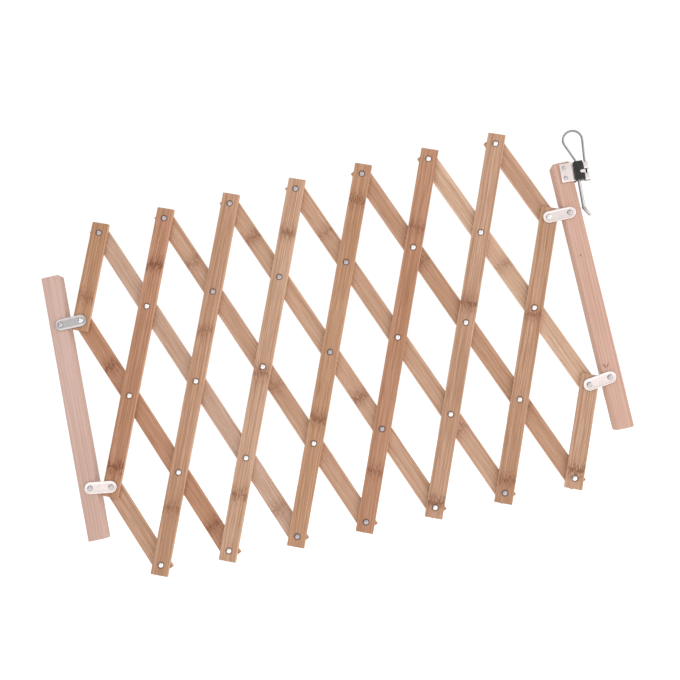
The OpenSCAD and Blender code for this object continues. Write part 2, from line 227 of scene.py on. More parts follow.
class Nodes:
    """Short calls for building one material's node tree."""

    def __init__(self, name):
        self.material = bpy.data.materials.new(name)
        self.material.use_nodes = True
        self.tree = self.material.node_tree
        self.shader = self.tree.nodes["Principled BSDF"]
        self.object = self.new("ShaderNodeTexCoord").outputs["Object"]

    def new(self, kind, **values):
        node = self.tree.nodes.new(kind)
        for key, value in values.items():
            if hasattr(node, key):
                setattr(node, key, value)
            else:
                node.inputs[key].default_value = value
        return node

    def link(self, source, node, socket):
        self.tree.links.new(source, node.inputs[socket])

    def scaled(self, source, scale, offset=(0, 0, 0)):
        node = self.new("ShaderNodeMapping")
        node.inputs["Scale"].default_value = scale
        node.inputs["Location"].default_value = offset
        self.link(source, node, "Vector")
        return node.outputs["Vector"]

    def noise(self, vector, scale=1.0, detail=3.0, rough=0.55, distortion=0.0):
        node = self.new("ShaderNodeTexNoise")
        node.inputs["Scale"].default_value = scale
        node.inputs["Detail"].default_value = detail
        node.inputs["Roughness"].default_value = rough
        node.inputs["Distortion"].default_value = distortion
        self.link(vector, node, "Vector")
        return node.outputs["Fac"]

    def math(self, operation, a, b=None, c=None, clamp=False):
        node = self.new("ShaderNodeMath", operation=operation)
        node.use_clamp = clamp
        for i, value in enumerate((a, b, c)):
            if value is None:
                continue
            if isinstance(value, (int, float)):
                node.inputs[i].default_value = value
            else:
                self.tree.links.new(value, node.inputs[i])
        return node.outputs[0]

    def range(self, value, low, high, to_low=0.0, to_high=1.0):
        node = self.new("ShaderNodeMapRange")
        node.clamp = True
        for key, v in (("From Min", low), ("From Max", high), ("To Min", to_low), ("To Max", to_high)):
            node.inputs[key].default_value = v
        self.link(value, node, "Value")
        return node.outputs["Result"]

    def mix(self, share, a, b, blend="MIX"):
        node = self.new("ShaderNodeMix", data_type="RGBA", blend_type=blend)
        for i, value in ((0, share), (6, a), (7, b)):
            if isinstance(value, (int, float)):
                node.inputs[i].default_value = value
            elif isinstance(value, tuple):
                node.inputs[i].default_value = (*value, 1)
            else:
                self.tree.links.new(value, node.inputs[i])
        return node.outputs[2]

    def facing(self):
        """The direction that the surface faces, split along the object's own axes."""
        normal = self.new("ShaderNodeNewGeometry").outputs["Normal"]
        local = self.new("ShaderNodeVectorTransform", vector_type="NORMAL", convert_from="WORLD",
                         convert_to="OBJECT")
        self.link(normal, local, "Vector")
        split = self.new("ShaderNodeSeparateXYZ")
        self.link(local.outputs["Vector"], split, "Vector")
        return split

    def bump(self, height, strength, distance):
        node = self.new("ShaderNodeBump")
        node.inputs["Strength"].default_value = strength
        node.inputs["Distance"].default_value = distance
        self.link(height, node, "Height")
        self.link(node.outputs["Normal"], self.shader, "Normal")

    def finish(self, color=None, roughness=None, **constants):
        if color is not None:
            self.link(color, self.shader, "Base Color")
        if roughness is not None:
            self.link(roughness, self.shader, "Roughness")
        for key, value in constants.items():
            self.shader.inputs[key.replace("_", " ")].default_value = value
        return self.material


def linear(r, g, b):
    """A display colour from 0 to 255 as linear light."""
    out = []
    for v in (r, g, b):
        v = v / 255
        out.append(v / 12.92 if v <= 0.04045 else ((v + 0.055) / 1.055) ** 2.4)
    return tuple(out)


def shade(color, factor):
    return tuple(min(1, c * f) for c, f in zip(color, factor))


def bamboo(name, tone, joints_at, mark, seed, first_rivet, outward, half_width, contrast):
    """Carbonised bamboo: grain along local Z, and a broken dark band at each joint of the cane, mark strong.

    The outer face, on the outward side of Y, carries a painted shadow round each rivet, from first_rivet on a pitch
    apart.
    """
    n = Nodes(name)
    shift = (seed * 0.37, seed * 0.11, seed * 0.53)
    base = linear(*tone)
    axes = n.new("ShaderNodeSeparateXYZ")
    n.link(n.object, axes, "Vector")
    z = axes.outputs["Z"]
    # broad tone drifts along the strip, then vessel lines about 2 mm apart, then short fibre dashes
    drift = n.noise(n.scaled(n.object, (60, 60, 6), shift), 1, 2)
    bend = n.new("ShaderNodeVectorMath", operation="ADD")
    sway = n.new("ShaderNodeCombineXYZ")
    n.link(n.math("MULTIPLY", n.noise(n.scaled(n.object, (60, 60, 14), shift), 1, 1), 0.0022), sway, "X")
    n.tree.links.new(n.object, bend.inputs[0])
    n.tree.links.new(sway.outputs["Vector"], bend.inputs[1])
    grain = bend.outputs["Vector"]
    vessel = n.noise(n.scaled(grain, (640, 640, 5), shift), 1, 2, 0.55)
    streak = n.noise(n.scaled(grain, (1250, 1250, 16), shift), 1, 2, 0.6)
    fibre = n.noise(n.scaled(grain, (3000, 3000, 70), shift), 1, 2, 0.7)
    dash = n.range(n.noise(n.scaled(grain, (1500, 1500, 26), shift), 1, 1, 0.4), 0.60, 0.70)
    color = n.mix(n.range(drift, 0.3, 0.7), shade(base, (1.16, 1.18, 1.24)), shade(base, (1.00, 0.99, 0.97)))
    color = n.mix(n.range(vessel, 0.44, 0.60, 0.0, 0.95 * contrast), color, shade(base, (0.81, 0.71, 0.60)))
    color = n.mix(n.range(streak, 0.50, 0.64, 0.0, 0.70 * contrast), color, shade(base, (0.70, 0.57, 0.46)))
    color = n.mix(n.range(fibre, 0.48, 0.68, 0.0, 0.45), color, shade(base, (0.68, 0.57, 0.47)))
    color = n.mix(n.math("MULTIPLY", dash, 0.60), color, shade(base, (0.50, 0.38, 0.31)))
    # each joint: a reddish halo, a broken wavy ridge line and dark dashes that thin out on both sides of it
    wave = n.math("SUBTRACT", n.noise(n.scaled(n.object, (210, 210, 0), shift), 1, 2), 0.5)
    place = n.math("ADD", z, n.math("MULTIPLY", wave, 0.012))
    halo = line = dashes = None
    for at in joints_at:
        gap = n.math("ABSOLUTE", n.math("SUBTRACT", place, at))
        spans = ((0.0, 0.016), (0.0, 0.0015), (0.002, 0.016))
        parts = [n.range(gap, start, stop, 1, 0) for start, stop in spans]
        if halo is None:
            halo, line, dashes = parts
        else:
            halo, line, dashes = (n.math("MAXIMUM", a, b) for a, b in zip((halo, line, dashes), parts))
    if halo is not None:
        broken = n.range(n.noise(n.scaled(n.object, (800, 800, 40), shift), 1, 1), 0.38, 0.55)
        color = n.mix(n.math("MULTIPLY", halo, 0.42 * mark), color, shade(base, (0.72, 0.53, 0.43)))
        spots = n.noise(n.scaled(n.object, (1150, 1150, 210), shift), 1, 2, 0.5)
        near_line = n.math("MULTIPLY", dashes, 0.13)
        thick = n.range(n.math("ADD", spots, near_line), 0.58, 0.64)
        color = n.mix(n.math("MULTIPLY", n.math("MULTIPLY", thick, dashes), 0.95 * mark), color,
                      shade(base, (0.36, 0.22, 0.15)))
        color = n.mix(n.math("MULTIPLY", n.math("MULTIPLY", line, broken), 0.8 * mark), color,
                      shade(base, (0.40, 0.25, 0.17)))
    # painted highlight: the sawn side faces and a strip along each long edge are drawn paler, as lit edges; the cut
    # ends show the darker fibre bundles
    facing = n.facing()
    side = n.range(n.math("ABSOLUTE", facing.outputs["X"]), 0.5, 0.9)
    end = n.range(n.math("ABSOLUTE", facing.outputs["Z"]), 0.5, 0.9)
    rim = n.range(n.math("ABSOLUTE", axes.outputs["X"]), half_width - 0.0016, half_width - 0.0004)
    color = n.mix(n.math("MULTIPLY", rim, 0.45), color, shade(base, (1.30, 1.30, 1.28)))
    color = n.mix(n.math("MULTIPLY", side, 0.6), color, shade(base, (1.34, 1.30, 1.16)))
    # painted shadow: a dark ring on the outer face round each rivet head, in place of the head's contact shadow
    along = n.math("PINGPONG", n.math("SUBTRACT", z, first_rivet), pitch / 2)
    off = n.math("SQRT", n.math("ADD", n.math("MULTIPLY", along, along),
                                n.math("MULTIPLY", axes.outputs["X"], axes.outputs["X"])))
    outer = n.range(n.math("MULTIPLY", facing.outputs["Y"], outward), 0.5, 0.9)
    ring = n.math("MULTIPLY", n.range(off, head_r + 0.0003, head_r + 0.0014, 1, 0), outer)
    color = n.mix(n.math("MULTIPLY", ring, 0.9), color, shade(base, (0.26, 0.21, 0.20)))
    speck = n.range(n.noise(n.scaled(n.object, (2600, 2600, 2600), shift), 1, 2), 0.45, 0.6)
    color = n.mix(n.math("MULTIPLY", n.math("MULTIPLY", end, speck), 0.6), color,
                  shade(base, (0.45, 0.36, 0.28)))
    rough = n.range(vessel, 0.3, 0.7, 0.46, 0.62)
    depth = n.math("ADD", n.math("MULTIPLY", fibre, 0.5), n.math("MULTIPLY", streak, 0.9))
    height = n.math("SUBTRACT", 1.0, depth)
    if line is not None:
        height = n.math("SUBTRACT", height, n.math("MULTIPLY", line, 1.0))
    n.bump(height, 0.4, 0.00025)
    return n.finish(color, rough, Specular_IOR_Level=0.35, Coat_Weight=0.05, Coat_Roughness=0.4)


def softwood(name, tone, seed, pith, knots=()):
    """Sanded pale softwood: growth rings cut lengthwise, fine pores and a few small marks."""
    n = Nodes(name)
    shift = (seed * 0.41, seed * 0.23, seed * 0.31)
    base = linear(*tone)
    warp = n.noise(n.scaled(n.object, (18, 18, 2.2), shift), 1, 2)
    # rings: distance from a pith line that lies well outside the batten
    axes = n.new("ShaderNodeSeparateXYZ")
    n.link(n.scaled(n.object, (1, 1, 1), (pith[0], pith[1], 0)), axes, "Vector")
    x2 = n.math("MULTIPLY", axes.outputs["X"], axes.outputs["X"])
    y2 = n.math("MULTIPLY", axes.outputs["Y"], axes.outputs["Y"])
    lean = n.math("MULTIPLY", axes.outputs["Z"], 0.012)
    radius = n.math("ADD", n.math("SQRT", n.math("ADD", x2, y2)), lean)
    radius = n.math("ADD", radius, n.math("MULTIPLY", warp, 0.0075))
    # some years grew faster, and some left a stronger line
    band = n.noise(n.scaled(n.object, (170, 170, 3), shift), 1, 2)
    radius = n.math("ADD", radius, n.math("MULTIPLY", band, 0.0060))
    ring = n.math("FRACT", n.math("DIVIDE", radius, 0.0036))
    late = n.math("MULTIPLY", n.range(ring, 0.45, 0.92), n.range(ring, 0.92, 1.0, 1, 0))
    years = n.noise(n.scaled(n.object, (110, 110, 4), shift), 1, 1)
    late = n.math("MULTIPLY", late, n.range(years, 0.35, 0.62, 0.25, 1))
    streak = n.noise(n.scaled(n.object, (380, 380, 6), shift), 1, 3, 0.6)
    pore = n.noise(n.scaled(n.object, (2100, 2100, 55), shift), 1, 2, 0.6)
    cloud = n.noise(n.scaled(n.object, (22, 22, 9), shift), 1, 2)
    color = n.mix(n.range(cloud, 0.3, 0.7), shade(base, (1.05, 1.05, 1.06)), shade(base, (0.95, 0.92, 0.88)))
    color = n.mix(n.math("MULTIPLY", late, 0.80), color, shade(base, (0.84, 0.68, 0.55)))
    color = n.mix(n.range(streak, 0.45, 0.70, 0.0, 0.55), color, shade(base, (0.82, 0.70, 0.60)))
    color = n.mix(n.range(pore, 0.52, 0.74, 0.0, 0.30), color, shade(base, (0.74, 0.60, 0.50)))
    for x, z, wide, tall, slope in knots:
        spot = n.new("ShaderNodeSeparateXYZ")
        n.link(n.object, spot, "Vector")
        rise = n.math("SUBTRACT", spot.outputs["Z"], z)
        across = n.math("SUBTRACT", n.math("SUBTRACT", spot.outputs["X"], x), n.math("MULTIPLY", rise, slope))
        dx = n.math("DIVIDE", across, wide)
        dz = n.math("DIVIDE", rise, tall)
        far = n.math("SQRT", n.math("ADD", n.math("MULTIPLY", dx, dx), n.math("MULTIPLY", dz, dz)))
        far = n.math("ADD", far, n.math("MULTIPLY", n.math("SUBTRACT", streak, 0.5), 1.6))
        front = n.range(spot.outputs["Y"], -0.007, -0.009)
        mark = n.math("MULTIPLY", n.range(far, 0.5, 1.0, 1, 0), front)
        color = n.mix(n.math("MULTIPLY", mark, 0.9), color, shade(base, (0.42, 0.24, 0.15)))
    # end grain is darker and shows the rings as arcs; the sawn sides are drawn a little paler and warmer, a painted
    # highlight on the side faces
    facing = n.facing()
    end = n.range(n.math("ABSOLUTE", facing.outputs["Z"]), 0.5, 0.9)
    side = n.range(n.math("ABSOLUTE", facing.outputs["X"]), 0.5, 0.9)
    color = n.mix(n.math("MULTIPLY", end, n.range(late, 0, 1, 0.3, 0.8)), color,
                  shade(base, (0.62, 0.47, 0.36)))
    color = n.mix(n.math("MULTIPLY", side, 0.6), color, shade(base, (1.18, 1.12, 1.04)))
    rough = n.range(streak, 0.3, 0.7, 0.55, 0.72)
    height = n.math("SUBTRACT", n.math("MULTIPLY", pore, 0.5), n.math("MULTIPLY", late, 0.6))
    n.bump(height, 0.3, 0.0003)
    return n.finish(color, rough, Specular_IOR_Level=0.3)


def plated(name, tone, rough, worn, fine=900.0, stretch=(1, 1, 1), rim=0.35):
    """Plated steel: faint rolling lines, uneven gloss, and painted shade that makes the sides darker by rim than
    front and back.
    """
    n = Nodes(name)
    base = linear(*tone)
    lines = n.noise(n.scaled(n.object, tuple(fine * s for s in stretch)), 1, 3, 0.6)
    cloud = n.noise(n.scaled(n.object, (160, 160, 160)), 1, 3, 0.6)
    color = n.mix(n.range(cloud, 0.35, 0.7), base, shade(base, (0.90, 0.89, 0.88)))
    color = n.mix(n.range(cloud, 0.62, 0.78, 0, worn), color, shade(base, (0.66, 0.63, 0.60)))
    color = n.mix(n.range(lines, 0.5, 0.8, 0, 0.25), color, shade(base, (0.84, 0.83, 0.82)))
    sides = n.new("ShaderNodeNewGeometry")
    facing = n.new("ShaderNodeSeparateXYZ")
    n.link(sides.outputs["Normal"], facing, "Vector")
    # painted shade: faces turned away from the world's Y axis, the sides, are darkened by rim, as dark reflections
    painted_side_shade = n.range(n.math("ABSOLUTE", facing.outputs["Y"]), 0.35, 0.90, 1, 0)
    color = n.mix(n.math("MULTIPLY", painted_side_shade, rim), color, shade(base, (0.16, 0.15, 0.16)))
    uneven = n.math("ADD", cloud, n.math("MULTIPLY", lines, 0.5))
    roughness = n.range(uneven, 0.5, 1.0, rough * 0.8, rough * 1.35)
    n.bump(lines, 0.12, 0.00008)
    return n.finish(color, roughness, Metallic=1.0)


def moulded(name, tone, rough):
    """Moulded plastic with a fine spark texture and slight scuffs."""
    n = Nodes(name)
    base = linear(*tone)
    grain = n.noise(n.scaled(n.object, (2400, 2400, 2400)), 1, 2, 0.6)
    cloud = n.noise(n.scaled(n.object, (240, 240, 240)), 1, 4, 0.65)
    color = n.mix(n.range(cloud, 0.4, 0.75), base, shade(base, (1.9, 1.85, 1.8)))
    roughness = n.range(cloud, 0.35, 0.7, rough * 0.85, rough * 1.2)
    n.bump(grain, 0.25, 0.0001)
    return n.finish(color, roughness, Specular_IOR_Level=0.45)


strap_steel = plated("strap_steel", (243, 231, 228), 0.27, 0.3, 700, (1, 1, 0.06), 0.75)
folded_steel = plated("folded_steel", (243, 233, 231), 0.22, 0.3, 700, (1, 1, 0.06), 0.95)
rivet_steel = plated("rivet_steel", (246, 244, 245), 0.14, 0.1, rim=0.6)
pin_steel = plated("pin_steel", (206, 202, 204), 0.20, 0.5, rim=0.8)
bolt_steel = plated("bolt_steel", (204, 199, 200), 0.16, 0.4, 900, (1, 1, 0.05), 0.95)
# painted shade: a darker copy of the rivet plating, for some of the lattice rivets
shaded_rivet_steel = plated("shaded_rivet_steel", (186, 182, 186), 0.30, 0.8, rim=0.6)
wire_steel = plated("wire_steel", (168, 163, 165), 0.16, 0.4, 900, (1, 1, 0.05), 0.95)
# painted shade: a darker copy of the strap plating, for the upper left link
shaded_strap_steel = plated("shaded_strap_steel", (199, 194, 195), 0.20, 0.7, 700, (1, 1, 0.06), 0.6)
spring_steel = plated("spring_steel", (150, 150, 152), 0.32, 0.5)
black_plastic = moulded("black_plastic", (24, 23, 24), 0.42)
grey_plastic = moulded("grey_plastic", (96, 96, 98), 0.5)

# ---------------------------------------------------------------- slats

lean_run = joints["rear_slat_6_turn"] - joints["lattice_fold"]
lean = math.atan2(lean_run.x, lean_run.z)
pitch = lean_run.length / 4
upper_pivots = (joints["rear_slat_2_turn"], joints["upper_right_strap_turn"])
lower_pivots = (joints["rear_slat_1_turn"], joints["front_slat_9_turn"])
rivet_r = 0.0016
bore_r = 0.00168
head_gap = 0.00015

# Display colours that the cane comes in, and the one that each slat has
umber = (180, 135, 107)
brown = (183, 142, 112)
tan = (184, 145, 118)
honey = (187, 150, 125)
straw = (191, 155, 130)
ashen = (191, 159, 139)
pale = (202, 170, 146)
front_tones = (brown, umber, tan, straw, brown, umber, honey, tan, straw)
rear_tones = (honey, umber, ashen, honey, straw, straw, tan, pale, honey)
# Where the cane joints of each slat lie along it, as shares of its length
front_joints = ((0.31,), (0.10, 0.80), (0.17, 0.63), (0.17, 0.485, 0.855), (0.33, 0.905), (0.155, 0.79),
                (0.04, 0.55), (0.075, 0.63), (0.165,))
rear_joints = ((), (0.127, 0.78), (0.106,), (0.44, 0.84), (0.36, 0.87), (0.215, 0.838), (0.237, 0.70),
               (0.52,), ())
# How dark the cane joints of each slat are
front_marks = (0.6, 1.0, 0.55, 0.75, 0.8, 0.55, 0.9, 0.7, 0.9)
rear_marks = (0.5, 0.8, 0.5, 0.5, 0.75, 0.5, 0.55, 0.5, 0.5)
# Rivets drawn with a darker copy of the rivet plating, a painted shade, as (front slat, rivet counted from its
# lower end)
shaded_rivets = {(1, 1), (2, 3), (3, 3), (3, 4), (4, 3), (4, 4), (5, 0), (5, 2), (5, 3), (5, 4),
               (6, 0), (6, 1), (8, 0)}


class Slat:
    """Place and size of one slat, worked out from its CAD box and the lattice's lean."""

    def __init__(self, node, angle):
        low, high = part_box(node)
        run, rise = high.x - low.x, high.z - low.z
        s, c = math.sin(lean), math.cos(lean)
        self.length = (rise * c - run * s) / (c * c - s * s)
        self.width = (run - self.length * s) / c
        self.thickness = high.y - low.y
        self.place = Matrix.Translation((low + high) / 2) @ turned(angle)
        self.rivets = round((self.length - 0.02) / pitch) + 1
        self.rivet_z = [(i - (self.rivets - 1) / 2) * pitch for i in range(self.rivets)]
        self.front_y = -self.thickness / 2


def slat_mesh(slat, joints_at, bore):
    """A planed bamboo strip: eased edges, faintly uneven sides and a slight swelling at each cane joint."""
    half = slat.length / 2
    stations = [-half, -half + 0.0002, -half + 0.0007]
    count = int(slat.length / 0.004)
    stations += [-half + 0.0012 + (slat.length - 0.0024) * i / count for i in range(count + 1)]
    stations += [half - 0.0007, half - 0.0002, half]
    inset = {0: 0.0006, 1: 0.00022, len(stations) - 2: 0.00022, len(stations) - 1: 0.0006}
    phases = [random.uniform(0, 6.28) for _ in range(4)]
    rings = []
    for i, z in enumerate(stations):
        cut = inset.get(i, 0)
        swell = max([0.0] + [math.exp(-((z - at) / 0.006) ** 2) for at in joints_at])
        left = 0.00012 + 0.00008 * math.sin(z * 41 + phases[0]) + 0.00004 * math.sin(z * 173 + phases[1])
        right = 0.00012 + 0.00008 * math.sin(z * 37 + phases[2]) + 0.00004 * math.sin(z * 191 + phases[3])
        thin = 0.00010 * (1 - swell)
        ring = rounded_rect(slat.width - left - right - 2 * cut, slat.thickness - 2 * thin - 2 * cut, 0.0006)
        rings.append([((x + (left - right) / 2), y, z) for x, y in ring])
    cutters = [(rod(bore, -slat.thickness, slat.thickness), Matrix.Translation((0, 0, z)))
               for z in slat.rivet_z]
    return bored(loft(rings), cutters)


head_r, head_h = 0.0031, 0.0013


def front_head():
    """A domed head in front of the plane y = 0, with a small dimple on top and a turned-in rim."""
    return [(0, -head_h + 0.00016), (0.0002, -head_h + 0.00014), (0.0004, -head_h + 0.00004), (0.0006, -head_h),
            (0.0012, -head_h + 0.00003), (0.0018, -head_h + 0.00012), (0.0022, -head_h + 0.00032),
            (0.0026, -head_h + 0.00068), (0.0029, -0.00022), (head_r, -0.00004), (head_r, 0), (rivet_r, 0)]


def rear_tail():
    """The rolled, hollow tail behind the plane y = 0."""
    return [(rivet_r, 0), (0.0026, 0), (0.0030, 0.0002), (head_r, 0.0005), (0.0029, 0.0009), (0.0024, 0.0012),
            (0.0019, head_h), (0.0014, 0.0012), (0.0010, 0.0008), (0.0008, 0.0002), (0, 0)]


def rivet(front_y, back_y, head=True):
    """A hollow-tailed rivet from its front face to its tail, round local Y."""
    front = [(r, y + front_y) for r, y in front_head()] if head else [(0, front_y), (rivet_r, front_y)]
    return lathe(front + [(r, y + back_y) for r, y in rear_tail()])


def near(point, pivots):
    return any(math.hypot(point.x - p.x, point.z - p.z) < 0.004 for p in pivots)


strap_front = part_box("strap_upper_left")[0].y
rear_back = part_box("rear_slat_2")[1].y
for i in range(1, 10):
    for layer, tones, spots, marks, sign in (("front", front_tones, front_joints, front_marks, 1),
                                             ("rear", rear_tones, rear_joints, rear_marks, -1)):
        node = f"{layer}_slat_{i}"
        slat = Slat(node, sign * lean)
        joints_at = [(share - 0.5) * slat.length for share in spots[i - 1]]
        wood = bamboo(f"bamboo_{layer}_{i}", tones[i - 1], joints_at, marks[i - 1], i + (0 if sign > 0 else 20),
                      slat.rivet_z[0], -sign, slat.width / 2, 1.0 if layer == "front" else 0.75)
        bore = rivet_r if layer == "front" else bore_r
        piece(f"{layer}_strip_{i}", slat_mesh(slat, joints_at, bore), slat.place, wood, node, [node])
        if layer == "rear":
            continue
        bright, shaded_heads = [], []
        for k, z in enumerate(slat.rivet_z):
            at = slat.place @ Vector((0, 0, z))
            y = slat.place.translation.y
            under_lower = near(at, lower_pivots)
            face = strap_front - head_gap if near(at, upper_pivots) else y + slat.front_y
            turn = turned(random.uniform(0, 6.28))
            bm = rivet(face - y, rear_back + head_gap - y, not under_lower)
            (shaded_heads if (i, k) in shaded_rivets else bright).append((bm, Matrix.Translation((0, 0, z)) @ turn))
        # the listed rivets take the darker copy of the plating, a painted shade
        for label, parts, plating in (("rivets", bright, rivet_steel), ("shaded_rivets", shaded_heads, shaded_rivet_steel)):
            if parts:
                piece(f"{label}_{i}", joined(parts), slat.place, plating, node, [f"rivets_slat_{i}"],
                      50)

# ---------------------------------------------------------------- posts


def post_mesh(size, end_r, edge_r):
    """A sanded square batten with rounded long edges, and ends rounded by end_r."""
    w, d, length = size
    half = length / 2
    stations, insets = [], []
    for k in range(6):
        a = math.pi / 2 * k / 5
        stations.append(-half + end_r * (1 - math.sin(a)))
        insets.append(end_r * (1 - math.cos(a)))
    stations, insets = stations[::-1], insets[::-1]
    count = 40
    body = [-half + end_r + (length - 2 * end_r) * i / count for i in range(1, count)]
    zs = stations + body + [-z for z in reversed(stations)]
    cuts = insets + [0] * len(body) + insets[::-1]
    rings = []
    for z, cut in zip(zs, cuts):
        wave = 0.00006 * math.sin(z * 31) + 0.00006
        ring = rounded_rect(w - 2 * cut - 2 * wave, d - 0.6 * cut, edge_r, 4)
        rings.append([(x, y, z) for x, y in ring])
    return loft(rings)


for side, tone, end_r, seed, pith, knots in (
    ("left", (199, 170, 160), 0.0007, 3, (0.031, 0.024), ()),
    ("right", (203, 168, 154), 0.0026, 8, (-0.027, 0.019),
     ((-0.0058, -0.0842, 0.0011, 0.0040, -0.4), (-0.0024, -0.0836, 0.0010, 0.0034, 0.5),
      (-0.003, 0.046, 0.0010, 0.0017, 0))),
):
    low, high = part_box(f"post_{side}")
    wood = softwood(f"softwood_{side}", tone, seed, pith, knots)
    piece(f"batten_{side}", post_mesh(high - low, end_r, 0.0012), Matrix.Translation((low + high) / 2), wood,
          f"post_{side}", [f"post_{side}"])

# ---------------------------------------------------------------- straps and their pins

strap_w = 2 * (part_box("strap_upper_left")[1].z - joints["upper_left_strap_turn"].z)
strap_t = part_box("strap_upper_left")[1].y - strap_front


def strap_mesh(reach, post_bore, lattice_bore):
    """A pressed link from zero to reach along X, front at y = 0: rolled edge and a shallow dished face."""
    r = strap_w / 2
    levels = ((0.0006, strap_t), (0.0002, strap_t - 0.0002), (0, strap_t - 0.0006), (0, 0.0006), (0.00018, 0.00022),
              (0.0005, 0.00003), (0.0010, 0), (0.0014, 0.00010), (0.0019, 0.00028), (0.0030, 0.00032))
    rings = [[(x, y, z) for x, z in capsule(reach, r - d)] for d, y in levels]
    cutters = [(rod(post_bore, -0.01, 0.01), Matrix.Identity(4)),
               (rod(lattice_bore, -0.01, 0.01), Matrix.Translation((reach, 0, 0)))]
    return bored(loft(rings), cutters)


for level, side, post_joint, lattice_point, lattice_bore in (
    ("upper", "left", "upper_left_strap_turn", upper_pivots[0], bore_r),
    ("upper", "right", "post_right_turn", upper_pivots[1], bore_r),
    ("lower", "left", "lower_left_strap_turn", lower_pivots[0], rivet_r),
    ("lower", "right", "lower_right_strap_turn", lower_pivots[1], rivet_r),
):
    start = joints[post_joint]
    run = lattice_point - start
    reach = math.hypot(run.x, run.z)
    place = Matrix.Translation((start.x, strap_front, start.z)) @ turned(-math.atan2(run.z, run.x))
    node = f"strap_{level}_{side}"
    # painted shade: the upper left link takes the darker copy of the strap plating
    plating = shaded_strap_steel if (level, side) == ("upper", "left") else strap_steel
    piece(f"link_{level}_{side}", strap_mesh(reach, bore_r, lattice_bore), place, plating, node, [node],
          30)
    if level == "lower":
        stud = lathe(front_head() + [(rivet_r, strap_t), (0, strap_t)])
        piece(f"stud_{side}", stud, place @ Matrix.Translation((reach, 0, 0)), pin_steel, node,
              [f"strap_stud_{side}"], 50)

for side in ("left", "right"):
    node = f"strap_pins_{side}"
    low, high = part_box(node)
    centre = (low + high) / 2
    deep = high.y - strap_front + head_gap
    parts = []
    for name in ("upper", "lower"):
        joint = joints["post_right_turn" if (name, side) == ("upper", "right") else f"{name}_{side}_strap_turn"]
        pin = lathe(front_head() + [(rivet_r, deep - 0.0006), (rivet_r - 0.0005, deep), (0, deep)])
        parts.append((pin, Matrix.Translation((joint.x - centre.x, 0, joint.z - centre.z))))
    place = Matrix.Translation((centre.x, strap_front - head_gap, centre.z))
    piece(f"pins_{side}", joined(parts), place, pin_steel, f"post_{side}", [node], 50)

# ---------------------------------------------------------------- latch

# The latch's own frame: X outward from the bolt's line, Z up along it, zero at the plate's middle.
bolt_end = mounts["latch_bolt_end"]
tilt = math.atan2(-bolt_end["axis"][0], -bolt_end["axis"][2])
bolt_end_depth = 0.027
latch = Matrix.Translation(Vector(bolt_end["pos_m"])) @ turned(tilt) @ Matrix.Translation((0, 0, bolt_end_depth))
bolt_inset, block_w, block_h, block_d = 0.0034, 0.010, 0.022, 0.010
plate_w, plate_h, plate_t = 0.0165, 0.0225, 0.0014


def box_mesh(low, high, bevel=0.0004, steps=3):
    """A box between two corners in the latch's frame, with bevelled edges."""
    bm = bmesh.new()
    bmesh.ops.create_cube(bm, size=1)
    size = Vector(high) - Vector(low)
    bm.transform(Matrix.Translation((Vector(low) + Vector(high)) / 2) @ Matrix.Diagonal((*size, 1)))
    if bevel:
        bmesh.ops.bevel(bm, geom=bm.edges[:], offset=bevel, segments=steps, profile=0.5, affect="EDGES")
    return bm


def plate_levels(w, h, r, levels, centre):
    rings = []
    for d, y in levels:
        ring = rounded_rect(w - 2 * d, h - 2 * d, max(r - d, 0.0001), 5)
        rings.append([(x + centre[0], y, z + centre[1]) for x, z in ring])
    return loft(rings)


# plate, with its edges rolled over, and two screws
edge = -bolt_inset
plate = plate_levels(plate_w, plate_h, 0.0012,
                     ((0.0004, 0), (0, -0.0003), (0, -plate_t + 0.0004), (0.00012, -plate_t + 0.00014),
                      (0.0004, -plate_t)),
                     (edge - plate_w / 2, 0))
screw_x = edge - plate_w + 0.005
holes = [(rod(0.00138, -0.01, 0.01), Matrix.Translation((screw_x, 0, side * 0.006))) for side in (-1, 1)]
piece("lock_plate", bored(plate, holes), latch, strap_steel, "post_right", ["latch_plate"], 30)
screws = []
for side in (-1, 1):
    dome = [(0, -plate_t - 0.00118), (0.0007, -plate_t - 0.00115), (0.0013, -plate_t - 0.00095),
            (0.0018, -plate_t - 0.0006),
            (0.0021, -plate_t - 0.0003), (0.0023, -plate_t - 0.00005), (0.0023, -plate_t), (0.0013, -plate_t),
            (0.0013, 0.008), (0, 0.009)]
    screws.append((lathe(dome), Matrix.Translation((screw_x, 0, side * 0.006))))
piece("plate_screws", joined(screws), latch, pin_steel, "post_right", ["latch_plate_screws"], 50)

# moulded block: body, the lug behind the plate's edge and the arm that the ferrule slides along
x0, x1 = -bolt_inset, block_w - bolt_inset
half_h, half_d = block_h / 2, block_d / 2
arm_front = half_d - 0.0022
upright = Matrix.Rotation(math.pi / 2, 4, "X")
chamber_r, wire_r, gap = 0.0027, 0.0012, 0.0003
notch_end = x1 - 0.0046
tab_low, tab_high = -0.0036, 0.0002
notch = box_mesh((notch_end, -half_d - 0.001, tab_low - gap), (x1 + 0.001, -half_d + 0.0013, tab_high + gap), 0)
body = bored(box_mesh((x0, -half_d, -half_h), (x1, half_d, half_h), 0.0006), [
    (rod(chamber_r, -half_h - 0.003, half_h - 0.002), upright),
    (rod(wire_r + 0.00008, half_h - 0.0025, half_h + 0.002, 24), upright),
    (notch, Matrix.Identity(4)),
])
lug = box_mesh((x0 - 0.0012, 0.00002, -half_h - 0.001), (x0 + 0.0005, half_d, half_h + 0.0005), 0.0004)
arm = box_mesh((x1 - 0.001, arm_front, -half_h), (x1 + 0.0055, half_d, half_h - 0.0012), 0.0004)
# two shallow ribs on the moulded face
ribs = [(box_mesh((x0 + s, -half_d - 0.00022, -half_h + 0.0014),
                  (x0 + s + 0.0006, -half_d + 0.0004, half_h - 0.0014), 0.0002, 2),
         Matrix.Identity(4)) for s in (0.0008, 0.0022)]
piece("lock_block", joined([(shape, Matrix.Identity(4)) for shape in (body, lug, arm)] + ribs), latch,
      black_plastic, "post_right", ["latch_block"], 40)

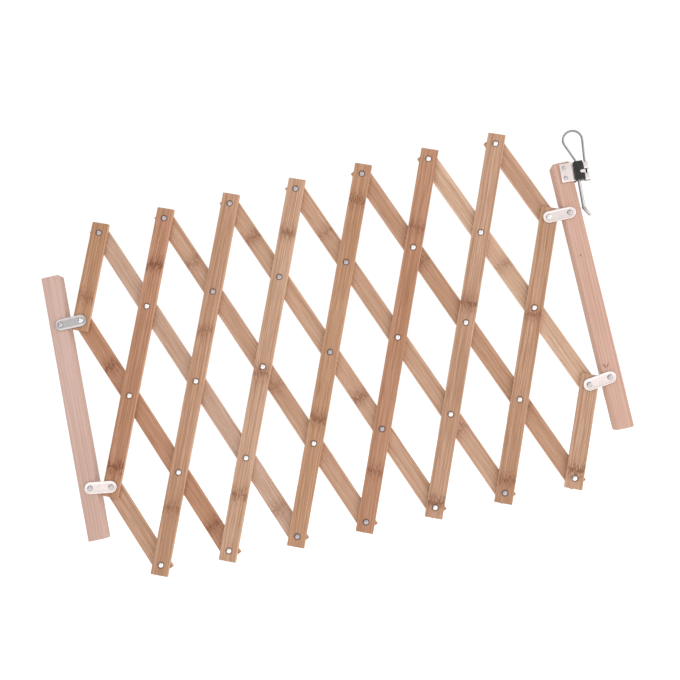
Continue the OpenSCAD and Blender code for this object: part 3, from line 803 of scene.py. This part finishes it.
# drop bolt with its collar, and the bent foot with a domed end
bolt_r, collar_r, foot_r = 0.0018, 0.0026, 0.0017
bolt_low, stem_top = -half_h - 0.032, -0.002
profile = [(0, bolt_low - 0.0014), (collar_r - 0.0003, bolt_low - 0.0014), (collar_r, bolt_low - 0.0011),
           (collar_r, bolt_low - 0.0003), (collar_r - 0.0003, bolt_low), (bolt_r, bolt_low + 0.0001),
           (bolt_r, stem_top - 0.0003), (bolt_r - 0.0003, stem_top), (wire_r, stem_top), (wire_r, stem_top - 0.003),
           (0, stem_top - 0.003)]
stem = lathe(profile, 40)
foot_end, foot_lean = 0.011, math.radians(33)
foot_rings = []
for k in range(9):
    a = math.pi / 2 * k / 8
    foot_rings.append((foot_r * math.cos(a), foot_end - foot_r + foot_r * math.sin(a)))
foot = lathe([(0, -foot_r), (foot_r * 0.7, -foot_r * 0.7), (foot_r, 0)] + foot_rings, 28)
foot_place = Matrix.Translation((0, 0, bolt_low - 0.0014)) @ turned(math.pi - foot_lean) @ upright
piece("drop_bolt", joined([(stem, upright), (foot, foot_place)]), latch, bolt_steel, "latch_bolt", ["latch_bolt"],
      40)

# pull loop: up out of the block, round the top, and down into the ferrule
loop_r = 0.0111
ferrule_x, ferrule_w = x1 + gap, 0.0066
centre = Vector((0.0008, half_h + 0.0263))
left_foot = Vector((0, half_h + 0.0012))
right_foot = Vector((ferrule_x + ferrule_w / 2, half_h + 0.0012))


def touch(foot, side):
    """Where the straight line from a foot meets the loop's round top."""
    run = centre - foot
    angle = math.atan2(run.y, run.x) + side * math.asin(loop_r / run.length)
    reach = math.sqrt(run.length ** 2 - loop_r ** 2)
    return foot + reach * Vector((math.cos(angle), math.sin(angle)))


def eased(before, corner, after, length):
    """A short bend in place of a corner."""
    a = corner + (before - corner).normalized() * length
    b = corner + (after - corner).normalized() * length
    return [a.lerp(corner, t).lerp(corner.lerp(b, t), t) for t in (0, 0.25, 0.5, 0.75, 1)]


left_touch, right_touch = touch(left_foot, 1), touch(right_foot, -1)
start = math.atan2(left_touch.y - centre.y, left_touch.x - centre.x)
stop = math.atan2(right_touch.y - centre.y, right_touch.x - centre.x)
start += 2 * math.pi if start < stop else 0
arc = [centre + loop_r * Vector((math.cos(a), math.sin(a)))
       for a in (start + (stop - start) * k / 36 for k in range(37))]
wire_low, ferrule_low = Vector((0, stem_top - 0.0029)), Vector((right_foot.x, 0.0034))
path = ([wire_low] + eased(wire_low, left_foot, left_touch, 0.0011) + arc
        + eased(right_touch, right_foot, ferrule_low, 0.0011) + [ferrule_low])
tube("wire_loop", path, wire_r, latch, wire_steel, "latch_bolt", ["pull_loop"])


def folded(w, d, h, r, ease, centre_at, low):
    """A folded sheet piece: upright, its four edges rounded by r, its ends eased."""
    rings = []
    for z, cut in ((0, ease), (ease * 0.35, ease * 0.3), (ease, 0),
                   (h - ease, 0), (h - ease * 0.35, ease * 0.3), (h, ease)):
        ring = rounded_rect(w - 2 * cut, d - 2 * cut, r, 6)
        rings.append([(x + centre_at[0], y + centre_at[1], low + z) for x, y in ring])
    return loft(rings)


# ferrule, crimped on the loop's outer leg
ferrule = folded(ferrule_w, 0.0054, 0.008, 0.0011, 0.0003, (right_foot.x, -0.0002), 0.0012)
wire_hole = (rod(wire_r, 0.0032, 0.02, 24), Matrix.Translation((right_foot.x, 0, 0)) @ upright)
piece("wire_ferrule", bored(ferrule, [wire_hole]), latch, folded_steel, "latch_bolt", ["loop_ferrule"],
      40)

# keeper: a tab across the block's face, and a folded body beside the block
tab_r = (tab_high - tab_low) / 2
tab_rings = []
for inset, y in ((0.0001, -half_d + 0.001), (0, -half_d + 0.0008), (0, -half_d), (0.00012, -half_d - 0.0002),
                 (0.0004, -half_d - 0.0003)):
    left = [(notch_end + tab_r + (tab_r - inset) * math.cos(a), tab_low + tab_r + (tab_r - inset) * math.sin(a))
            for a in (math.radians(90 + 180 * k / 14) for k in range(15))]
    ring = [(x1 + 0.0014 - inset, tab_high - inset)] + left + [(x1 + 0.0014 - inset, tab_low + inset)]
    tab_rings.append([(x, y, z) for x, z in ring])
keeper_low = -0.0125
keeper = joined([
    (loft(tab_rings), Matrix.Identity(4)),
    (box_mesh((x1 + 0.00002, -half_d - 0.00028, -0.0055), (x1 + 0.0014, -0.0025, tab_high), 0.0002),
     Matrix.Identity(4)),
    (folded(0.0066, 0.0063, 0.008, 0.0011, 0.0003, (x1 + 0.0033, -0.00035), keeper_low), Matrix.Identity(4)),
])
piece("bolt_keeper", keeper, latch, folded_steel, "post_right", ["latch_keeper"], 40)

# what works inside the block keeps its CAD shape
for node, finish_of in (("latch_bush", grey_plastic), ("latch_spring_seat", spring_steel),
                        ("latch_spring", spring_steel)):
    mesh = frame["nodes"][node].data
    mesh.materials.clear()
    mesh.materials.append(finish_of)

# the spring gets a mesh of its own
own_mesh(frame["nodes"]["latch_spring"])

# ---------------------------------------------------------------- floor, light and camera

lattice_centre = sum((*upper_pivots, *lower_pivots), Vector()) / 4
floor_z = cad_box[0][2] - 0.12
floor_mesh = bpy.data.meshes.new("floor")
floor_reach = 30
floor_corners = [(x * floor_reach, y * floor_reach, floor_z) for x, y in ((-1, -1), (1, -1), (1, 1), (-1, 1))]
floor_mesh.from_pydata(floor_corners, [], [(0, 1, 2, 3)])
floor = bpy.data.objects.new("floor", floor_mesh)
bpy.context.scene.collection.objects.link(floor)
paper = Nodes("paper")
floor_mesh.materials.append(paper.finish(Base_Color=(0.93, 0.93, 0.93, 1), Roughness=0.9,
                                         Specular_IOR_Level=0.1, Emission_Color=(1, 1, 1, 1),
                                         Emission_Strength=0.68))

world = bpy.context.scene.world or bpy.data.worlds.new("studio")
bpy.context.scene.world = world
world.use_nodes = True
tree = world.node_tree
tree.nodes.clear()
output = tree.nodes.new("ShaderNodeOutputWorld")
choose = tree.nodes.new("ShaderNodeMixShader")
ray = tree.nodes.new("ShaderNodeLightPath")
white = tree.nodes.new("ShaderNodeBackground")
white.inputs["Color"].default_value = (1, 1, 1, 1)
white.inputs["Strength"].default_value = 1.05
soft = tree.nodes.new("ShaderNodeBackground")
soft.inputs["Strength"].default_value = 1.0
where = tree.nodes.new("ShaderNodeTexCoord")
split = tree.nodes.new("ShaderNodeSeparateXYZ")
tree.links.new(where.outputs["Generated"], split.inputs["Vector"])
# a white room: brightest in front, with a dark end to the left
level = None
for axis, low, high, dark, bright in (("Y", 0.4, -0.95, 0.50, 0.93), ("X", -0.90, -0.45, 0.45, 1.0)):
    fall = tree.nodes.new("ShaderNodeMapRange")
    for key, value in (("From Min", low), ("From Max", high), ("To Min", dark), ("To Max", bright)):
        fall.inputs[key].default_value = value
    tree.links.new(split.outputs[axis], fall.inputs["Value"])
    if level is None:
        level = fall.outputs["Result"]
        continue
    both = tree.nodes.new("ShaderNodeMath")
    both.operation = "MULTIPLY"
    tree.links.new(level, both.inputs[0])
    tree.links.new(fall.outputs["Result"], both.inputs[1])
    level = both.outputs[0]
tree.links.new(level, soft.inputs["Color"])
tree.links.new(ray.outputs["Is Camera Ray"], choose.inputs["Fac"])
tree.links.new(soft.outputs["Background"], choose.inputs[1])
tree.links.new(white.outputs["Background"], choose.inputs[2])
tree.links.new(choose.outputs["Shader"], output.inputs["Surface"])


def softbox(name, place, size, power):
    light = bpy.data.lights.new(name, "AREA")
    light.shape = "RECTANGLE"
    light.size, light.size_y = size
    light.energy = power
    obj = bpy.data.objects.new(name, light)
    obj.location = place
    obj.rotation_euler = (lattice_centre - Vector(place)).to_track_quat("-Z", "Y").to_euler()
    bpy.context.scene.collection.objects.link(obj)
    return obj


softbox("key_light", (-0.5, -1.6, 1.5), (1.4, 1.0), 4)
softbox("fill_light", (2.0, -0.75, 0.5), (1.2, 1.2), 6.5)

distance, azimuth, elevation, roll = 1.101, 2.29, -6.34, 12.03
aim = lattice_centre + Vector((0.0142, -0.010, 0.0112))
az, el = math.radians(azimuth), math.radians(elevation)
back = Vector((math.sin(az) * math.cos(el), -math.cos(az) * math.cos(el), math.sin(el)))
level = Vector((0, 0, 1)).cross(back).normalized()
up = back.cross(level)
lens = bpy.data.cameras.new("camera")
lens.sensor_width = 36
lens.lens = 50.3
lens.clip_end = 100
camera = bpy.data.objects.new("camera", lens)
tilted = Matrix((level, up, back)).transposed().to_4x4() @ Matrix.Rotation(math.radians(-roll), 4, "Z")
camera.matrix_world = Matrix.Translation(aim + back * distance) @ tilted
bpy.context.scene.collection.objects.link(camera)
bpy.context.scene.camera = camera
bpy.context.scene.view_settings.view_transform = "Standard"
